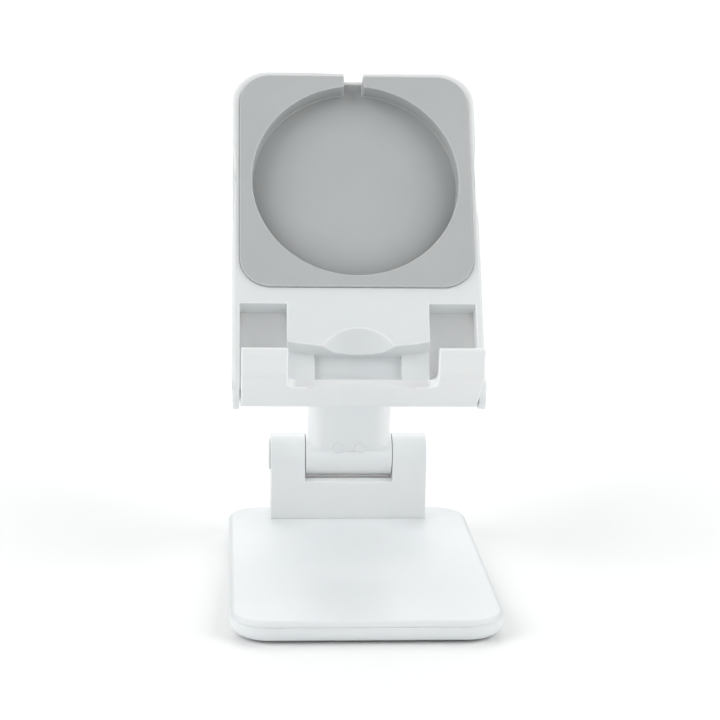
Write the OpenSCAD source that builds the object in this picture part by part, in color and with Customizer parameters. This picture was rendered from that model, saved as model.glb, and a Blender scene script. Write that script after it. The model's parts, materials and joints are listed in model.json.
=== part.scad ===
// Folding phone stand with a round charger recess in its plate.
// Millimetres, +Z up, the user sits at -Y. The origin is on the table,
// at the centre of the base's underside.

/* [Base] */
// Width of the base
base_w = 68.4; // [62:0.2:80]
// Depth of the base, front to back
base_d = 103.5; // [98:0.5:120]
// Height of the base's top face above the table
base_h = 6.3; // [6.1:0.1:7]
// Height of the seam between the two base shells
seam_h = 4.7; // [4.5:0.1:4.8]
// Plan radius of the base's corners
base_corner = 10; // [8:0.5:14]
// Rounding of the base's top edge
base_top_r = 1.5; // [0.8:0.1:1.5]

/* [Hinges] */
// Height of the lower hinge axis above the table
axis_h = 23.9; // [22:0.1:28]
// Distance from the lower hinge axis to the base's rear edge
axis_inset = 7.3; // [7.1:0.1:9]
// Outside radius of the hinge knuckles
knuckle_r = 6.05; // [5.9:0.05:6.4]
// Width across the two outer ears of a hinge
ears_w = 44.5; // [42:0.5:50]
// Clear width between the two ears
ears_gap = 25; // [24.8:0.1:26]
// Radius of the steel hinge pins
pin_r = 2.5; // [2:0.1:2.6]

/* [Arm] */
// Distance between the two hinge axes
arm_pitch = 54.2; // [52:0.2:60]
// Lean of the arm towards the user, in degrees from upright
arm_lean = 15.3; // [0:0.1:20]
// Width of the arm
arm_w = 23.5; // [22:0.1:24]
// Thickness of the arm
arm_t = 9.6; // [9:0.1:10.4]

/* [Holder] */
// Width of the phone plate
holder_w = 67; // [66:0.2:72]
// Height of the plate's top edge above its datum line at the ledge
holder_top = 98.4; // [97.8:0.2:104]
// Lean of the plate away from the user, in degrees from upright
holder_lean = 31.6; // [20:0.1:45]
// Height of the upper hinge axis above the plate's datum line
hinge_u = 41.1; // [38:0.1:44]
// Plan radius of the plate's top corners
holder_corner = 9.5; // [8:0.5:10]

/* [Charger recess] */
// Radius of the recess that takes the charging puck
puck_r = 28.25; // [27:0.05:28.5]
// Depth of the recess below the grip pad's face
puck_depth = 5.4; // [4.8:0.1:5.6]
// Height of the recess's centre above the plate's datum line
puck_u = 65.2; // [65:0.1:66]
// Width of the grip pad
pad_w = 63.3; // [62:0.1:64]
// How far the grip pad stands proud of the plate
pad_proud = 0.8; // [0.4:0.1:1]
// Width of the channel for the charger's cable
channel_w = 5.4; // [4:0.1:6]

/* [Ledge] */
// Angle between the opened ledge and the plate, in degrees
ledge_open = 84; // [80:1:90]
// Thickness of the ledge
ledge_t = 2.4; // [2.2:0.1:2.6]
// Distance from the ledge's hinge to its middle front edge
ledge_reach = 10.8; // [9:0.1:10.8]
// Distance from the ledge's hinge to the bend of the hooks
hook_reach = 17; // [15:0.1:17]
// Length of the bent hook tips
hook_tip = 7.6; // [6:0.1:7.6]

/* [Hidden] */
$fn = 96;
cut = 0.5;             // overrun of a cutter past the face it opens

white = [0.93, 0.94, 0.94];
grey = [0.70, 0.71, 0.72];
dark = [0.30, 0.31, 0.32];
steel = [0.72, 0.73, 0.75];

// Base, from the table up
sole_t = 1.2;          // thickness of the grip pad under the base
sole_inset = 3.6;      // distance from the base's edge to that pad
sole_proud = 0.6;      // how far that pad lifts the shell off the table
floor_z = 2.4;         // top of the bottom shell's floor
base_under_r = 3;      // rounding of the base's lower edge
wall = 1.8;            // wall of the bottom shell
axis_y = base_d / 2 - axis_inset;
weight_t = 2;
post_x = base_w / 2 - 7.1;
post_y = base_d / 2 - 7.4;
post_r = 2.8;
small_screw_r = 0.9;   // shank of a self-tapping screw
big_screw_r = 1.3;     // shank of a yoke screw
foot = [36, 8];        // the yoke's foot, where it passes through the top shell
yoke_screw_x = 12;
notch_drop = 6.8;      // from the hinge axis down to the floor of the yoke's notch
lip_front = 3.9;       // from the hinge axis forward to the top of the notch's sloping front lip
lip_drop = 6;          // from the hinge axis down to the top of that lip

// Hinge hardware, measured along the axis from the middle of the hinge
ear_bore_r = pin_r + 0.02;
arm_bore_r = pin_r + 0.05;
seat_depth = 4.2;      // counterbore in the outer face of an ear
seat_r = 4.4;
seat_x = ears_w / 2 - seat_depth;
washer_t = 0.5;
washer_count = 3;
nut_t = 2;
nut_r = 3.8;
head_r = 3.6;
cap_r = 4.35;
cap_t = 1.1;
cap_proud = 0.5;
cap_skirt = 0.9;
knuckle_w = ears_gap - 0.4;

// Arm
stiffener = [12, 1.5];
cavity = [13, 3.4];
cover_w = 15;
cover_t = 1.6;
cover_ends = 9;        // distance from a hinge axis to the rear cover's end
plug_r = 1.55;
plug_t = 1.2;
plug_x = 3.1;
plug_z = 4.6;          // distance from a hinge axis to the plugs

// Holder: x across, y up the plate, z out of its face, zero at the datum line on the face
front_t = 7.2;         // depth of the front shell
back_t = 1.8;          // thickness of the back cover
hinge_off = front_t + back_t + knuckle_r + 0.15;
edge_r = 1;            // rounding of the plate's front edge
back_edge_r = 1.5;
rail = 1.9;            // side rails that carry the ledge
inner_w = holder_w - 2 * rail;
pad_h = pad_w - 0.2;
pad_corner = 8.5;
pad_t = 1.6;
cup_wall = 1.05;
cup_floor = 1;
pad_u = puck_u;        // the pad is centred on the recess
recess_n = pad_proud - puck_depth;
tongue_w = 38;         // middle tongue between the two hook pockets
pocket_top = 28.9;
ledge_floor = 4.2;     // depth of the place the folded ledge takes
tongue_arc = 113;      // radius of the tongue's bowed lower end
tongue_low = 15.1;     // lowest point of that end
tongue_slope = 1.2;    // how far its wall leans back over its depth
bowl_r = 16.7;         // thumb scoop
bowl_lift = 12.2;
bowl_u = 10.6;
slot_w = 23.4;         // slot behind the ledge
slot_top = 15.8;
slot_depth = 6;
scallop_r = 140;
scallop_depth = 0.6;
holder_screw_x = 27;
holder_screw_u = [34, 94.5];

// Ledge hinge, in the holder's own directions
ledge_r = 3.3;
ledge_u = 4.55;
ledge_pin_r = 1;
ledge_w = inner_w - 0.6;
ear_end_r = 3.8;
hook_w = (ledge_w - tongue_w) / 2 - 0.4;
hook_fillet = 2.4;     // in the corner between a hook and the middle front edge
hook_bend = 4;         // radius of the hook's bend on its outer side
hook_angle = 45;

hinge_y = axis_y - arm_pitch * sin(arm_lean);
hinge_z = axis_h + arm_pitch * cos(arm_lean);

// ---------- shared shapes ----------

// Cross-section of a slab with rounded long edges, standing on y = 0
module slab_section(width, height, top_r, bottom_r) {
    intersection() {
        translate([-width / 2, 0])
            square([width, height]);
        union() {
            translate([-width / 2, bottom_r])
                square([width, height - top_r - bottom_r]);
            if (top_r > 0) {
                translate([-width / 2 + top_r, height - 2 * top_r])
                    square([width - 2 * top_r, 2 * top_r]);
                for (side = [-1, 1])
                    translate([side * (width / 2 - top_r), height - top_r])
                        circle(top_r);
            }
            if (bottom_r > 0) {
                translate([-width / 2 + bottom_r, 0])
                    square([width - 2 * bottom_r, 2 * bottom_r]);
                for (side = [-1, 1])
                    translate([side * (width / 2 - bottom_r), bottom_r])
                        circle(bottom_r);
            }
        }
    }
}

// Slab with round corners in plan and rounded top and bottom edges
module rounded_slab(width, depth, height, corner, top_r = 0, bottom_r = 0) {
    rotate([90, 0, 90])
        linear_extrude(width - 2 * corner, center = true)
            slab_section(depth, height, top_r, bottom_r);
    rotate([90, 0, 0])
        linear_extrude(depth - 2 * corner, center = true)
            slab_section(width, height, top_r, bottom_r);
    for (sx = [-1, 1], sy = [-1, 1])
        translate([sx * (width / 2 - corner), sy * (depth / 2 - corner), 0])
            rotate_extrude()
                intersection() {
                    slab_section(2 * corner, height, top_r, bottom_r);
                    square([corner, height]);
                }
}

// Cylinder along X, centred
module rod_x(radius, length) {
    rotate([0, 90, 0])
        cylinder(r = radius, h = length, center = true);
}

// Moves its children to both sides of the middle plane
module both_sides(x) {
    for (side = [-1, 1])
        translate([side * x, 0, 0])
            children();
}

// Flat-headed screw, head down, with its head's face at z = 0
module screw(shank_r, head, head_h, length) {
    cylinder(r = head, h = head_h);
    cylinder(r = shank_r, h = length);
}

// Frames of the moving groups
module at_lower_hinge() {
    translate([0, axis_y, axis_h])
        children();
}

module in_arm() {
    at_lower_hinge()
        rotate([arm_lean, 0, 0])
            children();
}

module at_upper_hinge() {
    translate([0, hinge_y, hinge_z])
        rotate([90 - holder_lean, 0, 0])
            children();
}

module in_holder() {
    at_upper_hinge()
        translate([0, -hinge_u, hinge_off])
            children();
}

// The ledge lies flat in the plate here, turned out by ledge_open
module in_ledge() {
    in_holder()
        translate([0, ledge_u, -ledge_r])
            rotate([ledge_open, 0, 0])
                children();
}

// ---------- hinge hardware, along X ----------

module ear_bores(ears_outer) {
    rod_x(ear_bore_r, ears_outer + 2 * cut);
    both_sides(seat_x + (seat_depth + cut) / 2)
        rod_x(seat_r, seat_depth + cut);
}

module hinge_pin() {
    pin_end = seat_x + washer_count * washer_t + nut_t;
    translate([(pin_end - seat_x) / 2, 0, 0])
        rod_x(pin_r, pin_end + seat_x);
    translate([-seat_x - nut_t / 2, 0, 0])
        rod_x(head_r, nut_t);
}

module hinge_washers() {
    for (i = [0 : washer_count - 1])
        translate([seat_x + (i + 0.5) * washer_t, 0, 0])
            difference() {
                rod_x(head_r, washer_t - 0.04);
                rod_x(pin_r + 0.05, washer_t + cut);
            }
}

module hinge_nut() {
    translate([seat_x + washer_count * washer_t + nut_t / 2, 0, 0])
        difference() {
            rotate([0, 90, 0])
                cylinder(r = nut_r, h = nut_t - 0.04, center = true, $fn = 6);
            rod_x(pin_r + 0.03, nut_t + cut);
        }
}

// The cap over the pin's head, on the left, stands proud; the one over the nut is flush
module hinge_caps() {
    for (side = [0, 1]) {
        proud = side * cap_proud;
        mirror([side, 0, 0])
            translate([ears_w / 2 + proud, 0, 0])
                rotate([0, -90, 0])
                    difference() {
                        cylinder(r = cap_r, h = cap_t - cap_proud + proud + cap_skirt);
                        translate([0, 0, cap_t - cap_proud + proud])
                            cylinder(r = cap_r - 0.45, h = cap_skirt + cut);
                    }
    }
}

// ---------- base ----------

module base_grip_pad() {
    color(dark)
        rounded_slab(base_w - 2 * sole_inset, base_d - 2 * sole_inset, sole_t, base_corner - sole_inset);
}

module base_bottom_shell() {
    color(white)
        difference() {
            translate([0, 0, sole_proud])
                rounded_slab(base_w, base_d, seam_h - sole_proud, base_corner, 0, base_under_r);
            translate([0, 0, floor_z])
                rounded_slab(base_w - 2 * wall, base_d - 2 * wall, seam_h, base_corner - wall);
            translate([0, 0, sole_proud - cut])
                rounded_slab(base_w - 2 * sole_inset + 0.2, base_d - 2 * sole_inset + 0.2,
                    sole_t - sole_proud + cut, base_corner - sole_inset + 0.1);
            for (sx = [-1, 1], sy = [-1, 1])
                translate([sx * post_x, sy * post_y, 0]) {
                    cylinder(r = small_screw_r + 0.2, h = seam_h);
                    cylinder(r = 2.2, h = sole_t + 0.6);
                }
            both_sides(yoke_screw_x)
                translate([0, axis_y, 0]) {
                    cylinder(r = big_screw_r + 0.2, h = seam_h);
                    cylinder(r = 2.9, h = sole_t + 0.6);
                }
        }
}

module base_weight() {
    length = axis_y - foot[1] / 2 - 2 + post_y - post_r - 1;
    color(steel)
        translate([0, axis_y - foot[1] / 2 - 2 - length / 2, floor_z + 0.05])
            rounded_slab(base_w - 2 * wall - 6, length, weight_t, 3);
}

module base_top_shell() {
    lip_w = base_w - 2 * wall - 0.2;
    lip_d = base_d - 2 * wall - 0.2;
    lip_corner = base_corner - wall - 0.1;
    color(white)
        difference() {
            union() {
                translate([0, 0, seam_h])
                    rounded_slab(base_w, base_d, base_h - seam_h, base_corner, base_top_r);
                difference() {
                    translate([0, 0, seam_h - 1])
                        rounded_slab(lip_w, lip_d, 1.2, lip_corner);
                    translate([0, 0, seam_h - 1 - cut])
                        rounded_slab(lip_w - 2.4, lip_d - 2.4, 1 + cut, lip_corner - 1.2);
                }
                for (sx = [-1, 1], sy = [-1, 1])
                    translate([sx * post_x, sy * post_y, floor_z])
                        cylinder(r = post_r, h = seam_h - floor_z + 0.2);
            }
            for (sx = [-1, 1], sy = [-1, 1])
                translate([sx * post_x, sy * post_y, floor_z - cut])
                    cylinder(r = small_screw_r + 0.02, h = seam_h - floor_z + 1.2);
            translate([0, axis_y, seam_h])
                cube([foot[0] + 0.2, foot[1] + 0.2, 4], center = true);
        }
}

module base_screws() {
    color(steel)
        for (sx = [-1, 1], sy = [-1, 1])
            translate([sx * post_x, sy * post_y, sole_t])
                screw(small_screw_r, 2.1, 0.55, seam_h - sole_t + 0.4);
}

// ---------- yoke ----------

// The notch between the yoke's ears, less the low lip that slopes up from its front edge
module yoke_notch() {
    rise = (notch_drop - lip_drop) / (knuckle_r - lip_front);
    translate([0, axis_y, axis_h])
        difference() {
            translate([-ears_gap / 2, -knuckle_r - cut, -notch_drop])
                cube([ears_gap, 2 * (knuckle_r + cut), notch_drop + knuckle_r + cut]);
            rotate([90, 0, 90])
                linear_extrude(ears_gap + 2, center = true)
                    polygon([
                        [-lip_front, -lip_drop], [-knuckle_r - 1, -notch_drop - rise],
                        [-knuckle_r - 1, -notch_drop - 1], [-lip_front, -notch_drop - 1]
                    ]);
        }
}

module yoke() {
    color(white)
        difference() {
            union() {
                translate([-ears_w / 2, axis_y - knuckle_r, base_h])
                    cube([ears_w, 2 * knuckle_r, axis_h - base_h]);
                at_lower_hinge()
                    rod_x(knuckle_r, ears_w);
                translate([-foot[0] / 2, axis_y - foot[1] / 2, floor_z])
                    cube([foot[0], foot[1], base_h - floor_z + 1]);
            }
            yoke_notch();
            at_lower_hinge()
                ear_bores(ears_w);
            both_sides(yoke_screw_x)
                translate([0, axis_y, floor_z - cut])
                    cylinder(r = big_screw_r + 0.02, h = 9.5);
        }
}

module yoke_screws() {
    color(steel)
        both_sides(yoke_screw_x)
            translate([0, axis_y, sole_t])
                screw(big_screw_r, 2.8, 0.55, 9.5);
}

module lower_hinge_pin() {
    color(steel)
        at_lower_hinge()
            hinge_pin();
}

module lower_hinge_washers() {
    color(steel)
        at_lower_hinge()
            hinge_washers();
}

module lower_hinge_nut() {
    color(steel)
        at_lower_hinge()
            hinge_nut();
}

module lower_hinge_caps() {
    color(grey)
        at_lower_hinge()
            hinge_caps();
}

// ---------- arm: x across, z from the lower to the upper axis, -y to the user ----------

// Repeats its children at the plugs' four places on the front face
module at_plugs() {
    for (z = [plug_z, arm_pitch - plug_z])
        both_sides(plug_x)
            translate([0, -arm_t / 2, z])
                rotate([-90, 0, 0])
                    children();
}

module arm_body() {
    flat_w = arm_w - arm_t;
    color(white)
        in_arm()
            difference() {
                union() {
                    for (z = [0, arm_pitch])
                        translate([0, 0, z])
                            rod_x(knuckle_r, knuckle_w);
                    linear_extrude(arm_pitch) {
                        square([flat_w, arm_t], center = true);
                        for (side = [-1, 1])
                            translate([side * flat_w / 2, 0])
                                circle(arm_t / 2);
                    }
                }
                for (z = [0, arm_pitch])
                    translate([0, 0, z])
                        rod_x(arm_bore_r, knuckle_w + 2 * cut);
                translate([-cavity[0] / 2, 0.1, cover_ends + 1])
                    cube([cavity[0], arm_t, arm_pitch - 2 * cover_ends - 2]);
                translate([-stiffener[0] / 2 - 0.1, 0.1, 3.1])
                    cube([stiffener[0] + 0.2, stiffener[1] + 0.1, arm_pitch - 6.2]);
                translate([-cover_w / 2 - 0.1, arm_t / 2 - cover_t, cover_ends - 0.1])
                    cube([cover_w + 0.2, arm_t, arm_pitch - 2 * cover_ends + 0.2]);
                at_plugs() {
                    translate([0, 0, -2])
                        cylinder(r = plug_r + 0.02, h = plug_t + 2 + 0.9);
                    cylinder(r = small_screw_r + 0.05, h = arm_t / 2 + 1);
                }
            }
}

module arm_rear_cover() {
    length = arm_pitch - 2 * cover_ends;
    color(white)
        in_arm() {
            translate([-cover_w / 2, arm_t / 2 - cover_t, cover_ends])
                cube([cover_w, cover_t, length]);
            for (z = [cover_ends + 3, arm_pitch - cover_ends - 5])
                translate([-cavity[0] / 2 + 0.2, 2, z])
                    cube([cavity[0] - 0.4, arm_t / 2 - cover_t - 1.9, 2]);
        }
}

module arm_stiffener() {
    color(steel)
        in_arm()
            difference() {
                translate([-stiffener[0] / 2, 0.15, 3.15])
                    cube([stiffener[0], stiffener[1], arm_pitch - 6.3]);
                at_plugs()
                    cylinder(r = small_screw_r + 0.02, h = arm_t);
            }
}

module arm_screws() {
    color(steel)
        in_arm()
            at_plugs()
                translate([0, 0, plug_t + 0.1])
                    screw(small_screw_r, plug_r - 0.1, 0.7, arm_t / 2 - plug_t + 1.4);
}

module arm_screw_plugs() {
    color(white)
        in_arm()
            at_plugs()
                translate([0, 0, -0.1])
                    cylinder(r = plug_r, h = plug_t);
}

// ---------- upper hinge ----------

module upper_hinge_pin() {
    color(steel)
        at_upper_hinge()
            hinge_pin();
}

module upper_hinge_washers() {
    color(steel)
        at_upper_hinge()
            hinge_washers();
}

module upper_hinge_nut() {
    color(steel)
        at_upper_hinge()
            hinge_nut();
}

module upper_hinge_caps() {
    color(grey)
        at_upper_hinge()
            hinge_caps();
}

// ---------- holder ----------

// Plate outline from z = low to z = low + height, cut off square at the bottom
module holder_plate(low, height, bottom, top_r = 0, bottom_r = 0) {
    length = holder_top - bottom;
    translate([0, bottom + length / 2, low])
        rounded_slab(holder_w, length, height, holder_corner, top_r, bottom_r);
    translate([0, bottom + length / 4, low])
        rotate([90, 0, 0])
            linear_extrude(length / 2, center = true)
                slab_section(holder_w, height, top_r, bottom_r);
}

// Shallow finger scallops in the plate's two sides and its top
module scallops() {
    for (side = [-1, 1])
        translate([side * (holder_w / 2 + scallop_r - scallop_depth), puck_u, -front_t])
            cylinder(r = scallop_r, h = 2 * front_t, $fn = 360);
    translate([0, holder_top + scallop_r - scallop_depth, -front_t])
        cylinder(r = scallop_r, h = 2 * front_t, $fn = 360);
}

// Space the grip pad takes, grown by a gap
module pad_space(gap) {
    translate([0, pad_u, pad_proud - pad_t])
        rounded_slab(pad_w + 2 * gap, pad_h + 2 * gap, pad_t, pad_corner + gap);
    translate([0, puck_u, recess_n - cup_floor - gap])
        cylinder(r = puck_r + cup_wall + gap, h = puck_depth + cup_floor + gap);
    translate([-channel_w / 2 - cup_wall - gap, puck_u, recess_n - cup_floor - gap])
        cube([channel_w + 2 * (cup_wall + gap), pad_h / 2 + gap, puck_depth + cup_floor + gap]);
}

// Place that the folded ledge takes: full width between the rails, up to the bowed tongue
module ledge_place() {
    difference() {
        translate([-inner_w / 2, -10, -ledge_floor])
            cube([inner_w, 10 + pocket_top, ledge_floor + cut]);
        translate([0, tongue_low + tongue_arc, -ledge_floor - cut])
            cylinder(r1 = tongue_arc, r2 = tongue_arc - tongue_slope - 0.5,
                h = ledge_floor + 3 * cut, $fn = 360);
    }
}

module holder_front() {
    barrel_top = ledge_u + ledge_r + 0.4;
    color(white)
        in_holder()
            difference() {
                union() {
                    holder_plate(-front_t, front_t, ledge_u, edge_r);
                    both_sides(holder_w / 2 - rail / 2)
                        translate([0, ledge_u, -ear_end_r])
                            rod_x(ear_end_r, rail);
                }
                scallops();
                pad_space(0.05);
                translate([-channel_w / 2, puck_u, recess_n])
                    cube([channel_w, holder_top, puck_depth + cut]);
                both_sides((tongue_w + inner_w) / 4)
                    translate([0, pocket_top / 2, 0])
                        cube([(inner_w - tongue_w) / 2, pocket_top, 3 * front_t], center = true);
                ledge_place();
                translate([-inner_w / 2, -10, -2 * front_t])
                    cube([inner_w, 10 + barrel_top, 3 * front_t]);
                translate([-slot_w / 2, 0, -slot_depth])
                    cube([slot_w, slot_top, slot_depth + cut]);
                translate([0, bowl_u, bowl_lift])
                    sphere(bowl_r);
                both_sides(holder_w / 2)
                    translate([0, ledge_u, -ledge_r])
                        rod_x(ledge_pin_r + 0.02, 4 * rail);
                for (u = holder_screw_u)
                    both_sides(holder_screw_x)
                        translate([0, u, -front_t - cut])
                            cylinder(r = small_screw_r + 0.02, h = 5);
            }
}

module holder_back() {
    ear_w = (ears_w - ears_gap) / 2;
    color(white)
        in_holder()
            difference() {
                union() {
                    holder_plate(-front_t - back_t, back_t, ledge_u, 0, back_edge_r);
                    both_sides(ears_gap / 2 + ear_w / 2)
                        translate([0, hinge_u, -hinge_off]) {
                            rod_x(knuckle_r, ear_w);
                            translate([-ear_w / 2, -knuckle_r, 0])
                                cube([ear_w, 2 * knuckle_r, hinge_off - front_t - 0.6]);
                        }
                }
                translate([0, hinge_u, -hinge_off])
                    ear_bores(ears_w);
                for (u = holder_screw_u)
                    both_sides(holder_screw_x)
                        translate([0, u, -front_t - back_t - cut]) {
                            cylinder(r = small_screw_r + 0.2, h = back_t + 2 * cut);
                            cylinder(r = 2.2, h = cut + 0.9);
                        }
            }
}

module holder_screws() {
    color(steel)
        in_holder()
            for (u = holder_screw_u)
                both_sides(holder_screw_x)
                    translate([0, u, -front_t - back_t + 0.2])
                        screw(small_screw_r, 2.1, 0.65, 5.6);
}

module grip_pad() {
    color(grey)
        in_holder()
            difference() {
                pad_space(0);
                translate([0, puck_u, recess_n])
                    cylinder(r = puck_r, h = puck_depth + cut);
                translate([-channel_w / 2, puck_u, recess_n])
                    cube([channel_w, pad_h, puck_depth + cut]);
            }
}

// ---------- ledge: lying flat in the plate, hinge at the origin, y up the plate ----------

// Side profile of one hook: the flat part, the bend and the tip
module hook_profile() {
    tip = hook_tip - ledge_t / 2;
    inner = hook_bend - ledge_t;
    tangent = hook_bend * tan(hook_angle / 2);
    bend_start = hook_reach - tangent;
    overlap = 0.1;
    translate([0, ledge_r - ledge_t])
        square([bend_start + overlap, ledge_t]);
    translate([bend_start, ledge_r - hook_bend])
        intersection() {
            difference() {
                circle(hook_bend);
                circle(inner);
            }
            polygon([[0, 0], [0, 2 * hook_bend], [2 * hook_bend, 2 * hook_bend]]);
        }
    translate([hook_reach, ledge_r])
        rotate(-hook_angle) {
            translate([tangent - overlap, -ledge_t])
                square([tip - tangent + overlap, ledge_t]);
            translate([tip, -ledge_t / 2])
                circle(ledge_t / 2);
        }
}

// Middle part of the ledge, its outer face scooped towards the front edge
module ledge_middle() {
    scoop_w = 30;
    scoop_back = 2.7;
    scoop_r = (scoop_w * scoop_w / 4 + scoop_back * scoop_back) / (2 * scoop_back);
    thumb_r = 45;
    thumb_edge = 13.2;
    thumb_y = 17;
    difference() {
        translate([-ledge_w / 2, 0, ledge_r - ledge_t])
            cube([ledge_w, ledge_reach, ledge_t]);
        translate([0, ledge_reach - scoop_back + scoop_r, ledge_r - ledge_t])
            cylinder(r1 = scoop_r - scoop_back, r2 = scoop_r, h = ledge_t + 0.01, $fn = 180);
        translate([0, thumb_y, ledge_r + sqrt(thumb_r * thumb_r - thumb_edge * thumb_edge)])
            sphere(thumb_r);
    }
}

// Rounds the corner between a hook and the middle front edge
module hook_corner() {
    translate([0, ledge_reach, ledge_r - ledge_t])
        linear_extrude(ledge_t)
            difference() {
                translate([-hook_fillet, -0.2])
                    square([hook_fillet + 0.2, hook_fillet + 0.2]);
                translate([-hook_fillet, hook_fillet])
                    circle(hook_fillet);
            }
}

module ledge() {
    color(white)
        in_ledge()
            difference() {
                union() {
                    rod_x(ledge_r, ledge_w);
                    ledge_middle();
                    both_sides(ledge_w / 2 - hook_w / 2)
                        rotate([90, 0, 90])
                            linear_extrude(hook_w, center = true)
                                hook_profile();
                    for (side = [0, 1])
                        mirror([side, 0, 0])
                            translate([ledge_w / 2 - hook_w, 0, 0])
                                hook_corner();
                }
                both_sides(ledge_w / 2)
                    rod_x(ledge_pin_r + 0.05, 7);
            }
}

module ledge_pins() {
    color(steel)
        in_holder()
            both_sides(holder_w / 2 - 2.5)
                translate([0, ledge_u, -ledge_r])
                    rod_x(ledge_pin_r, 4.6);
}

base_grip_pad();
base_bottom_shell();
base_weight();
base_top_shell();
base_screws();
yoke();
yoke_screws();
lower_hinge_pin();
lower_hinge_washers();
lower_hinge_nut();
lower_hinge_caps();
arm_body();
arm_rear_cover();
arm_stiffener();
arm_screws();
arm_screw_plugs();
upper_hinge_pin();
upper_hinge_washers();
upper_hinge_nut();
upper_hinge_caps();
holder_front();
holder_back();
holder_screws();
grip_pad();
ledge();
ledge_pins();
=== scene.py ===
import json
import math

import bmesh
import bpy
from mathutils import Matrix, Vector

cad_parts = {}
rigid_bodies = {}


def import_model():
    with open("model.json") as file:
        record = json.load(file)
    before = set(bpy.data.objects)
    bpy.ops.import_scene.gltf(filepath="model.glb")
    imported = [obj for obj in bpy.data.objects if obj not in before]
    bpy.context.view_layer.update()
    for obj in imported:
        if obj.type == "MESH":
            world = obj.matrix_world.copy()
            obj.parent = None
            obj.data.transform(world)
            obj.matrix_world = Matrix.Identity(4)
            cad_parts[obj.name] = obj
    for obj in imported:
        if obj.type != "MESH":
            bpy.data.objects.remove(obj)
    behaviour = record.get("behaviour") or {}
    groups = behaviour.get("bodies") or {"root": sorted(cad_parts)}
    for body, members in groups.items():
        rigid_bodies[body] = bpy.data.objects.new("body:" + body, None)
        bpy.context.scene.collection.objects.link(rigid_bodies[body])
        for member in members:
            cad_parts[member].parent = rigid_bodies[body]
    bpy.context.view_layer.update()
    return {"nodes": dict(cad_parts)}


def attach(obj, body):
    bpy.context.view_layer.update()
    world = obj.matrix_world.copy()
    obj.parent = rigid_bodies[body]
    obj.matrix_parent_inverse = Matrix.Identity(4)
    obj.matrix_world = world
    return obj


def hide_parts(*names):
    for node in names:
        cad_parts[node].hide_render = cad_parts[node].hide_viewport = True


# Folding phone stand around its CAD frame: finishes, rounded edges, stage, light and camera.
# Lengths are in metres, in the same frame as the CAD.

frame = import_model()
scene = bpy.context.scene
MM = 0.001
SAME_POINT = 2e-6       # points nearer than this are one point of a CAD mesh
FLAT_TURN = 0.4         # degrees: faces that turn less than this are one face
SHARP_TURN = 35         # degrees: an edge that turns more than this stays sharp in shading
BEVEL_STEPS = 3
FLOOR_HALF = 20         # metres from the middle of the floor to its edge
FLOOR_DROP = 0.05 * MM  # keeps the floor clear of the sole
MIX_A, MIX_B, MIX_COLOUR = 6, 7, 2  # the Mix node's colour sockets


# ---------- materials ----------


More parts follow.
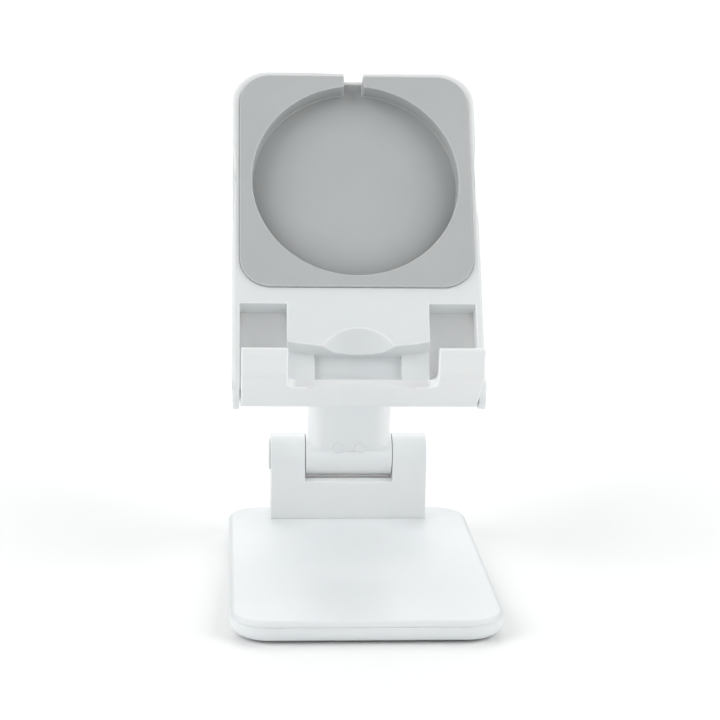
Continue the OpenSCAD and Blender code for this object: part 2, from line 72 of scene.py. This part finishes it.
class Finish:
    """A node material with the few calls that the finishes below share."""

    def __init__(self, name):
        self.mat = bpy.data.materials.get(name) or bpy.data.materials.new(name)
        self.mat.use_nodes = True
        self.tree = self.mat.node_tree
        self.tree.nodes.clear()
        self.shader = self.add("ShaderNodeBsdfPrincipled")
        out = self.add("ShaderNodeOutputMaterial")
        self.link(self.shader.outputs["BSDF"], out.inputs["Surface"])
        self.coords = self.add("ShaderNodeTexCoord").outputs["Object"]

    def add(self, kind, **values):
        node = self.tree.nodes.new(kind)
        for key, value in values.items():
            setattr(node, key, value)
        return node

    def link(self, a, b):
        self.tree.links.new(a, b)

    def stretched(self, x, y, z):
        """The object's own coordinates, scaled along each axis."""
        mapping = self.add("ShaderNodeMapping")
        mapping.inputs["Scale"].default_value = (x, y, z)
        self.link(self.coords, mapping.inputs["Vector"])
        return mapping.outputs["Vector"]

    def noise(self, scale, detail=2.0, rough=0.5, vector=None):
        node = self.add("ShaderNodeTexNoise")
        node.inputs["Scale"].default_value = scale
        node.inputs["Detail"].default_value = detail
        node.inputs["Roughness"].default_value = rough
        self.link(vector or self.coords, node.inputs["Vector"])
        return node.outputs["Fac"]

    def spread(self, fac, low, high):
        """A noise value, which lies about 0.5, spread over low to high."""
        node = self.add("ShaderNodeMapRange")
        node.inputs["From Min"].default_value = 0.25
        node.inputs["From Max"].default_value = 0.75
        node.inputs["To Min"].default_value = low
        node.inputs["To Max"].default_value = high
        self.link(fac, node.inputs["Value"])
        return node.outputs["Result"]

    def colours(self, fac, a, b):
        """Colour a to colour b, along a noise value."""
        ramp = self.add("ShaderNodeValToRGB")
        ramp.color_ramp.elements[0].position = 0.3
        ramp.color_ramp.elements[0].color = (*a, 1)
        ramp.color_ramp.elements[1].position = 0.7
        ramp.color_ramp.elements[1].color = (*b, 1)
        self.link(fac, ramp.inputs["Fac"])
        return ramp.outputs["Color"]

    # Lighter rounded edges: partly edge wear, partly painted highlight where the fillets would catch the
    # light.
    def worn_and_highlit(self, colour, rub_and_highlight):
        """The colour, changed to a lighter rub on the rounded edges, in patches: partly edge wear, partly
        painted highlight along the edges.
        """
        edge = self.add("ShaderNodeAttribute", attribute_name="edge")
        patches = self.spread(self.noise(220, 3, 0.6), 0.4, 1.0)
        amount = self.add("ShaderNodeMath", operation="MULTIPLY")
        self.link(edge.outputs["Fac"], amount.inputs[0])
        self.link(patches, amount.inputs[1])
        mix = self.add("ShaderNodeMix", data_type="RGBA")
        self.link(amount.outputs["Value"], mix.inputs["Factor"])
        self.link(colour, mix.inputs[MIX_A])
        mix.inputs[MIX_B].default_value = (*rub_and_highlight, 1)
        return mix.outputs[MIX_COLOUR]

    def painted_corner_shade(self, colour, shade_colour, reach):
        """The colour, going towards a dark colour in the piece's own inner corners, over reach metres:
        painted shade where the corners lie in shadow.
        """
        corner = self.add("ShaderNodeAmbientOcclusion", samples=16, only_local=True)
        corner.inputs["Distance"].default_value = reach
        mix = self.add("ShaderNodeMix", data_type="RGBA")
        self.link(corner.outputs["AO"], mix.inputs["Factor"])
        mix.inputs[MIX_A].default_value = (*shade_colour, 1)
        self.link(colour, mix.inputs[MIX_B])
        return mix.outputs[MIX_COLOUR]

    def bump(self, fac, strength, depth, below=None):
        node = self.add("ShaderNodeBump")
        node.inputs["Strength"].default_value = strength
        node.inputs["Distance"].default_value = depth
        self.link(fac, node.inputs["Height"])
        if below:
            self.link(below, node.inputs["Normal"])
        return node.outputs["Normal"]

    def done(self, colour, roughness, normal, **values):
        """The finished material. values are set on the shader's own sockets."""
        self.link(colour, self.shader.inputs["Base Color"])
        self.link(roughness, self.shader.inputs["Roughness"])
        self.link(normal, self.shader.inputs["Normal"])
        for key, value in values.items():
            self.shader.inputs[key.replace("_", " ")].default_value = value
        return self.mat


def white_plastic():
    f = Finish("white_plastic")
    colour = f.colours(f.noise(38, 3, 0.55), (0.775, 0.795, 0.8), (0.8, 0.815, 0.818))
    # Rounded edges go lighter: partly wear, partly painted highlight.
    colour = f.worn_and_highlit(colour, (0.9, 0.91, 0.91))
    roughness = f.spread(f.noise(160, 4, 0.6), 0.33, 0.43)
    ripple = f.bump(f.noise(90, 2, 0.5), 0.25, 0.03 * MM)
    grain = f.bump(f.noise(2600, 3, 0.6), 0.35, 0.012 * MM, ripple)
    return f.done(colour, roughness, grain, Specular_IOR_Level=0.45, Subsurface_Weight=0.04)


def grey_silicone():
    f = Finish("grey_silicone")
    colour = f.colours(f.noise(55, 4, 0.6), (0.445, 0.462, 0.462), (0.47, 0.486, 0.486))
    # Painted shade: the silicone darkens towards the recess's inner corners, where shade falls.
    colour = f.painted_corner_shade(colour, (0.2, 0.207, 0.207), 12 * MM)
    colour = f.worn_and_highlit(colour, (0.55, 0.56, 0.57))
    roughness = f.spread(f.noise(240, 4, 0.6), 0.58, 0.72)
    grain = f.bump(f.noise(3200, 3, 0.65), 0.5, 0.015 * MM)
    return f.done(colour, roughness, grain, Specular_IOR_Level=0.4, Sheen_Weight=0.12, Sheen_Roughness=0.5)


def sole_rubber():
    f = Finish("sole_rubber")
    colour = f.colours(f.noise(70, 4, 0.6), (0.2, 0.205, 0.215), (0.25, 0.255, 0.265))
    colour = f.worn_and_highlit(colour, (0.32, 0.32, 0.33))
    roughness = f.spread(f.noise(300, 4, 0.6), 0.7, 0.85)
    dimples = f.bump(f.noise(1500, 2, 0.5), 0.6, 0.04 * MM)
    return f.done(colour, roughness, dimples, Specular_IOR_Level=0.3, Sheen_Weight=0.1)


def cap_plastic():
    f = Finish("cap_plastic")
    colour = f.colours(f.noise(90, 3, 0.55), (0.6, 0.61, 0.61), (0.63, 0.64, 0.64))
    colour = f.worn_and_highlit(colour, (0.72, 0.72, 0.72))
    roughness = f.spread(f.noise(200, 4, 0.6), 0.32, 0.42)
    grain = f.bump(f.noise(2600, 3, 0.6), 0.3, 0.01 * MM)
    return f.done(colour, roughness, grain, Specular_IOR_Level=0.5)


def steel():
    f = Finish("steel")
    colour = f.colours(f.noise(180, 4, 0.6), (0.56, 0.57, 0.59), (0.66, 0.67, 0.68))
    colour = f.worn_and_highlit(colour, (0.74, 0.74, 0.75))
    lines = f.noise(1.0, 3, 0.6, f.stretched(150, 4000, 4000))
    roughness = f.spread(lines, 0.22, 0.38)
    brushed = f.bump(lines, 0.2, 0.008 * MM)
    return f.done(colour, roughness, brushed, Metallic=1.0)


FINISHES = {
    "white_plastic": white_plastic(),
    "grey_silicone": grey_silicone(),
    "sole_rubber": sole_rubber(),
    "cap_plastic": cap_plastic(),
    "steel": steel(),
}


# ---------- pieces ----------


def body_of(node):
    return frame["nodes"][node].parent.name.split(":")[-1]


def dress(obj, finish):
    obj.data.materials.clear()
    obj.data.materials.append(FINISHES[finish])


def softened(node, finish, width, least=32, most=150, middle=0):
    """A copy of the CAD node with its hard edges rounded, as a mould leaves them.

    An edge stays as it is if it turns by less than least or more than most degrees,
    or if it comes nearer than middle millimetres to the part's middle plane.
    """
    source = frame["nodes"][node]
    mesh = source.data.copy()
    obj = bpy.data.objects.new(node + "_moulded", mesh)
    scene.collection.objects.link(obj)
    bm = bmesh.new()
    bm.from_mesh(mesh)
    bmesh.ops.remove_doubles(bm, verts=bm.verts, dist=SAME_POINT)
    bmesh.ops.dissolve_limit(bm, angle_limit=math.radians(FLAT_TURN), verts=bm.verts, edges=bm.edges)
    mark = bm.faces.layers.float.new("edge")
    hard = [
        e for e in bm.edges
        if len(e.link_faces) == 2
        and least < math.degrees(e.calc_face_angle(0)) < most
        and min(abs(v.co.x) for v in e.verts) >= middle * MM
    ]
    made = bmesh.ops.bevel(
        bm, geom=hard, offset=width, offset_type="OFFSET", segments=BEVEL_STEPS, profile=0.5,
        affect="EDGES", clamp_overlap=False, loop_slide=True,
    )
    # The mark for wear and painted edge highlight goes on the rounded outward edges, not on inner corners.
    for face in made["faces"]:
        turns = [e.calc_face_angle_signed(0) for e in face.edges if len(e.link_faces) == 2]
        face[mark] = 1.0 if sum(turns) > 0 else 0.0
    for face in bm.faces:
        face.smooth = True
    bm.to_mesh(mesh)
    bm.free()
    mesh.set_sharp_from_angle(angle=math.radians(SHARP_TURN))
    normals = obj.modifiers.new("normals", "WEIGHTED_NORMAL")
    normals.keep_sharp = True
    dress(obj, finish)
    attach(obj, body_of(node))
    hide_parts(node)


# Node, finish, rounding in millimetres, and where needed least, most and middle, as softened() takes them
SOFTENED = [
    ("base_top_shell", "white_plastic", 0.25),
    ("base_bottom_shell", "white_plastic", 0.25),
    ("base_grip_pad", "sole_rubber", 0.3),
    ("yoke", "white_plastic", 0.2),
    ("lower_hinge_caps", "cap_plastic", 0.15),
    ("arm_body", "white_plastic", 0.15, 62),
    ("arm_rear_cover", "white_plastic", 0.25),
    ("arm_screw_plugs", "white_plastic", 0.12),
    ("upper_hinge_caps", "cap_plastic", 0.15),
    ("holder_front", "white_plastic", 0.25, 38, 125),
    ("holder_back", "white_plastic", 0.2),
    ("grip_pad", "grey_silicone", 0.3),
    ("ledge", "white_plastic", 0.35, 60, 120, 10),
]
for node, finish, width, *angles in SOFTENED:
    softened(node, finish, width * MM, *angles)

# CAD nodes that keep their own shape
METAL = [
    "base_weight", "base_screws", "yoke_screws",
    "lower_hinge_pin", "lower_hinge_washers", "lower_hinge_nut",
    "arm_stiffener", "arm_screws",
    "upper_hinge_pin", "upper_hinge_washers", "upper_hinge_nut",
    "holder_screws", "ledge_pins",
]
for node in METAL:
    dress(frame["nodes"][node], "steel")


# ---------- stage ----------


def floor_material():
    f = Finish("floor")
    colour = f.colours(f.noise(3, 2, 0.5), (0.93, 0.935, 0.935), (0.94, 0.945, 0.945))
    roughness = f.spread(f.noise(12, 2, 0.5), 0.75, 0.85)
    grain = f.bump(f.noise(400, 2, 0.5), 0.05, 0.02 * MM)
    return f.done(colour, roughness, grain, Specular_IOR_Level=0.1)


floor_mesh = bpy.data.meshes.new("floor")
corners = [(x * FLOOR_HALF, y * FLOOR_HALF, 0) for x, y in ((-1, -1), (1, -1), (1, 1), (-1, 1))]
floor_mesh.from_pydata(corners, [], [(0, 1, 2, 3)])
floor = bpy.data.objects.new("floor", floor_mesh)
floor.location.z = -FLOOR_DROP
floor_mesh.materials.append(floor_material())
scene.collection.objects.link(floor)

world = bpy.data.worlds.new("studio")
world.use_nodes = True
world.node_tree.nodes["Background"].inputs["Color"].default_value = (0.98, 0.99, 1.0, 1)
world.node_tree.nodes["Background"].inputs["Strength"].default_value = 0.05
scene.world = world


def sun(name, power, place, width):
    """A soft studio light that shines from place on the object. width is its size in degrees."""
    data = bpy.data.lights.new(name, "SUN")
    data.energy = power
    data.angle = math.radians(width)
    obj = bpy.data.objects.new(name, data)
    place = Vector(place)
    aim = (-place).to_track_quat("-Z", "Y").to_matrix().to_4x4()
    obj.matrix_world = Matrix.Translation(place) @ aim
    scene.collection.objects.link(obj)


sun("left", 1.95, (-1, -0.3, 0.7), 60)
sun("right", 1.8, (1, -0.3, 0.7), 60)
sun("back", 1.72, (0, 1, 1), 60)
sun("front", 0.55, (0, -1, 0.12), 40)

# Camera at the photograph's viewing angle: a little left of the middle, looking down, rolled a little

camera_data = bpy.data.cameras.new("camera")
camera_data.sensor_width = 36
camera_data.lens = 100.8
camera_data.clip_start = 0.01
camera_data.clip_end = 60
camera = bpy.data.objects.new("camera", camera_data)
yaw, drop, roll = (math.radians(a) for a in (3.95, 11.61, 0.98))
right = Vector((math.cos(yaw), -math.sin(yaw), 0))
up = Vector((math.sin(yaw) * math.sin(drop), math.cos(yaw) * math.sin(drop), math.cos(drop)))
x_axis = math.cos(roll) * right + math.sin(roll) * up
y_axis = math.cos(roll) * up - math.sin(roll) * right
turn = Matrix((x_axis, y_axis, x_axis.cross(y_axis))).transposed().to_4x4()
camera_place = (-0.0358, -0.51845, 0.16744)
camera.matrix_world = Matrix.Translation(camera_place) @ turn
scene.collection.objects.link(camera)
scene.camera = camera
scene.view_settings.view_transform = "Standard"
